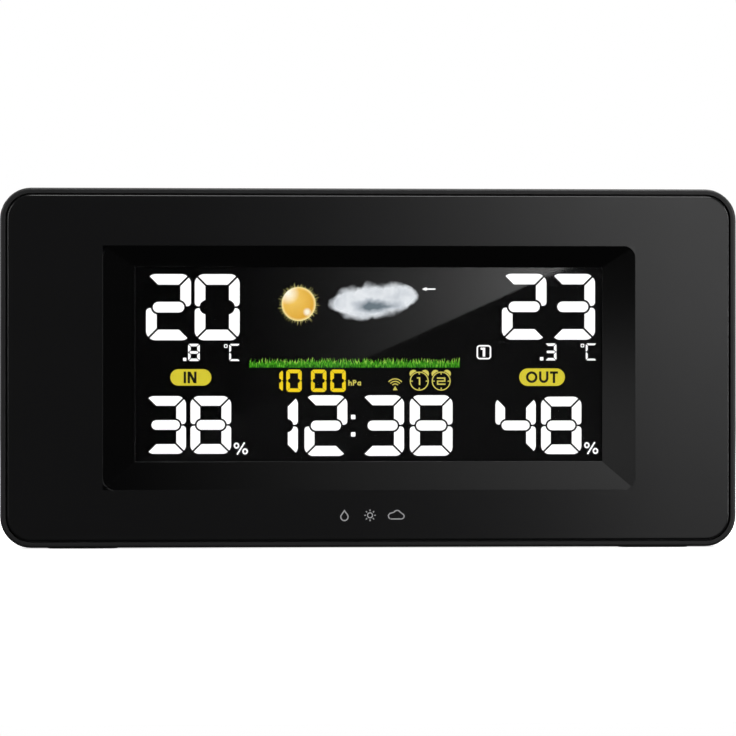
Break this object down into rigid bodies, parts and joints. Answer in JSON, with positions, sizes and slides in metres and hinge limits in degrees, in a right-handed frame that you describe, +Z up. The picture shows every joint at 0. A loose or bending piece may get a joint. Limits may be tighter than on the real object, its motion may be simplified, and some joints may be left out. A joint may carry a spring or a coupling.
{
  "type": "home weather station",
  "caption": "Slim landscape tabletop weather display console with a framed colour screen, rear keys, a top snooze key, a battery door and a fold-out foot.",
  "frame": {"origin": "on the table, at the centre of the footprint with the foot folded out", "axes": "+X to the right of someone facing the display, +Y away from them towards the back, +Z up"},
  "size_m": [0.19, 0.0584, 0.0933],
  "materials": {
    "case_plastic": "fine moulded texture",
    "fascia_plastic": "satin, very fine texture",
    "key_plastic": "satin",
    "switch_plastic": "moulded",
    "switch_stem_plastic": "moulded",
    "adhesive_foam": "double-sided tape",
    "clear_acrylic": "clear acrylic",
    "polariser_film": "dark film",
    "thin_glass": "thin glass",
    "printed_film": "colour-printed film",
    "white_film": "white film",
    "white_plastic": "moulded",
    "circuit_board": "green solder mask",
    "tinned_metal": "nickel and tin plating",
    "screw_steel": "plated",
    "resistor_black": "chip parts",
    "capacitor_sleeve": "shrink sleeve",
    "ferrite": "sintered",
    "copper_wire": "enamelled copper",
    "cell_jacket": "printed jacket",
    "pad_rubber": "soft",
    "red_wire": "insulated",
    "black_wire": "insulated"
  },
  "bodies": {
    "console": {"aaa_cells": "cell_jacket", "backlight_strips": "white_plastic", "base_pads": "pad_rubber", "battery_lead_minus": "black_wire", "battery_lead_plus": "red_wire", "board_pins": "tinned_metal", "board_screws": "screw_steel", "buzzer": "switch_plastic", "capacitors": "capacitor_sleeve", "case_screws": "screw_steel", "chip_leads": "tinned_metal", "chip_resistors": "resistor_black", "climate_sensor": "white_plastic", "clock_crystal": "tinned_metal", "colour_film": "printed_film", "contact_plates": "tinned_metal", "contact_springs": "tinned_metal", "diffuser_film": "white_film", "display_lens": "clear_acrylic", "fascia": "fascia_plastic", "fascia_tape": "adhesive_foam", "ferrite_rod": "ferrite", "ferrite_winding": "copper_wire", "foot_hinge_pin": "screw_steel", "front_case": "case_plastic", "lcd_front_glass": "thin_glass", "lcd_holder": "white_plastic", "lcd_rear_glass": "thin_glass", "lens_gasket": "adhesive_foam", "light_guide": "clear_acrylic", "main_board": "circuit_board", "main_chip": "switch_plastic", "polarisers": "polariser_film", "power_jack": "switch_plastic", "power_jack_pin": "tinned_metal", "pressure_sensor": "tinned_metal", "rear_case": "case_plastic", "receiver_aerial": "copper_wire", "receiver_board": "circuit_board", "receiver_shield": "tinned_metal", "reflector_film": "white_film", "switch_bodies": "switch_plastic"},
    "stand": {"fold_out_foot": "case_plastic", "foot_pad": "pad_rubber"},
    "battery_cover": {"battery_door": "case_plastic"},
    "snooze": {"snooze_key": "key_plastic", "snooze_switch_stem": "switch_stem_plastic"},
    "set": {"set_key": "key_plastic", "set_switch_stem": "switch_stem_plastic"},
    "up": {"up_key": "key_plastic", "up_switch_stem": "switch_stem_plastic"},
    "down": {"down_key": "key_plastic", "down_switch_stem": "switch_stem_plastic"},
    "alarm": {"alarm_key": "key_plastic", "alarm_switch_stem": "switch_stem_plastic"},
    "channel": {"channel_key": "key_plastic", "channel_switch_stem": "switch_stem_plastic"},
    "memory": {"memory_key": "key_plastic", "memory_switch_stem": "switch_stem_plastic"}
  },
  "joints": [
    {"name": "stand_fold", "type": "hinge", "parent": "console", "child": "stand", "pos_m": [0, -0.0048, 0.0029], "axis": [1, 0, 0], "range_deg": [0, 90]},
    {"name": "battery_cover_swing", "type": "hinge", "parent": "console", "child": "battery_cover", "pos_m": [0.0575, -0.0031, 0.0095], "axis": [-1, 0, 0], "range_deg": [0, 70]},
    {"name": "snooze_press", "type": "slide", "parent": "console", "child": "snooze", "axis": [0, 0, -1], "range_m": [0, 0.0005], "stiffness_N_per_m": 800},
    {"name": "set_press", "type": "slide", "parent": "console", "child": "set", "axis": [0, -1, 0], "range_m": [0, 0.0005], "stiffness_N_per_m": 400},
    {"name": "up_press", "type": "slide", "parent": "console", "child": "up", "axis": [0, -1, 0], "range_m": [0, 0.0005], "stiffness_N_per_m": 400},
    {"name": "down_press", "type": "slide", "parent": "console", "child": "down", "axis": [0, -1, 0], "range_m": [0, 0.0005], "stiffness_N_per_m": 400},
    {"name": "alarm_press", "type": "slide", "parent": "console", "child": "alarm", "axis": [0, -1, 0], "range_m": [0, 0.0005], "stiffness_N_per_m": 400},
    {"name": "channel_press", "type": "slide", "parent": "console", "child": "channel", "axis": [0, -1, 0], "range_m": [0, 0.0005], "stiffness_N_per_m": 400},
    {"name": "memory_press", "type": "slide", "parent": "console", "child": "memory", "axis": [0, -1, 0], "range_m": [0, 0.0005], "stiffness_N_per_m": 400}
  ]
}
